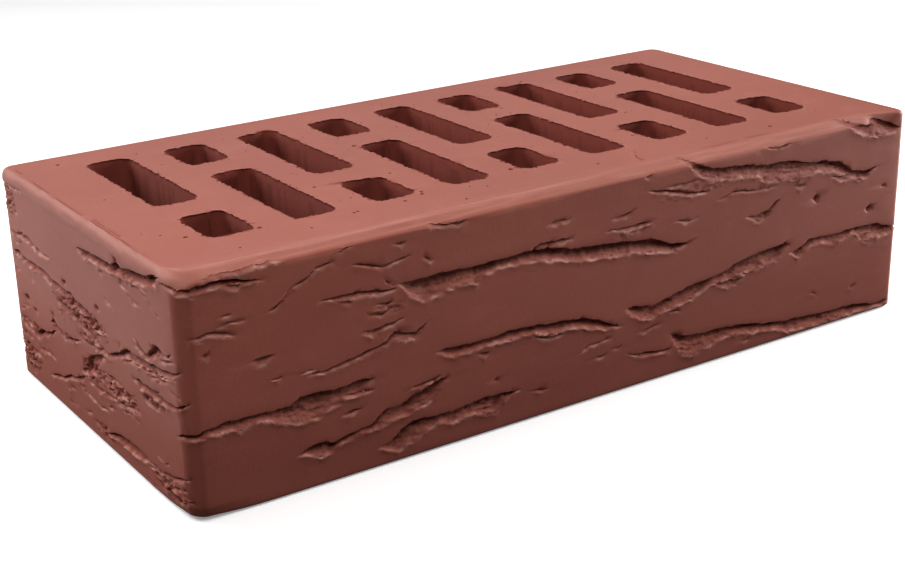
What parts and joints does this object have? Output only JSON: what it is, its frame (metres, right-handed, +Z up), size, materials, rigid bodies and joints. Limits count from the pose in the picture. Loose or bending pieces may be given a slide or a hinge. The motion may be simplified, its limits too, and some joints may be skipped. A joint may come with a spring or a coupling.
{
  "type": "clay brick",
  "caption": "Extruded hollow facing brick of fired clay, with upright slots in staggered columns, flat wire-cut beds and bark-textured faces.",
  "frame": {"origin": "middle of the lower bed, the flat face that the brick lies on", "axes": "+X along the brick's length, +Y from the facing side to the back, +Z up through the slots"},
  "size_m": [0.25, 0.12, 0.065],
  "materials": {
    "fired_clay": "matt, unglazed"
  },
  "bodies": {
    "root": {"brick": "fired_clay"}
  },
  "joints": []
}
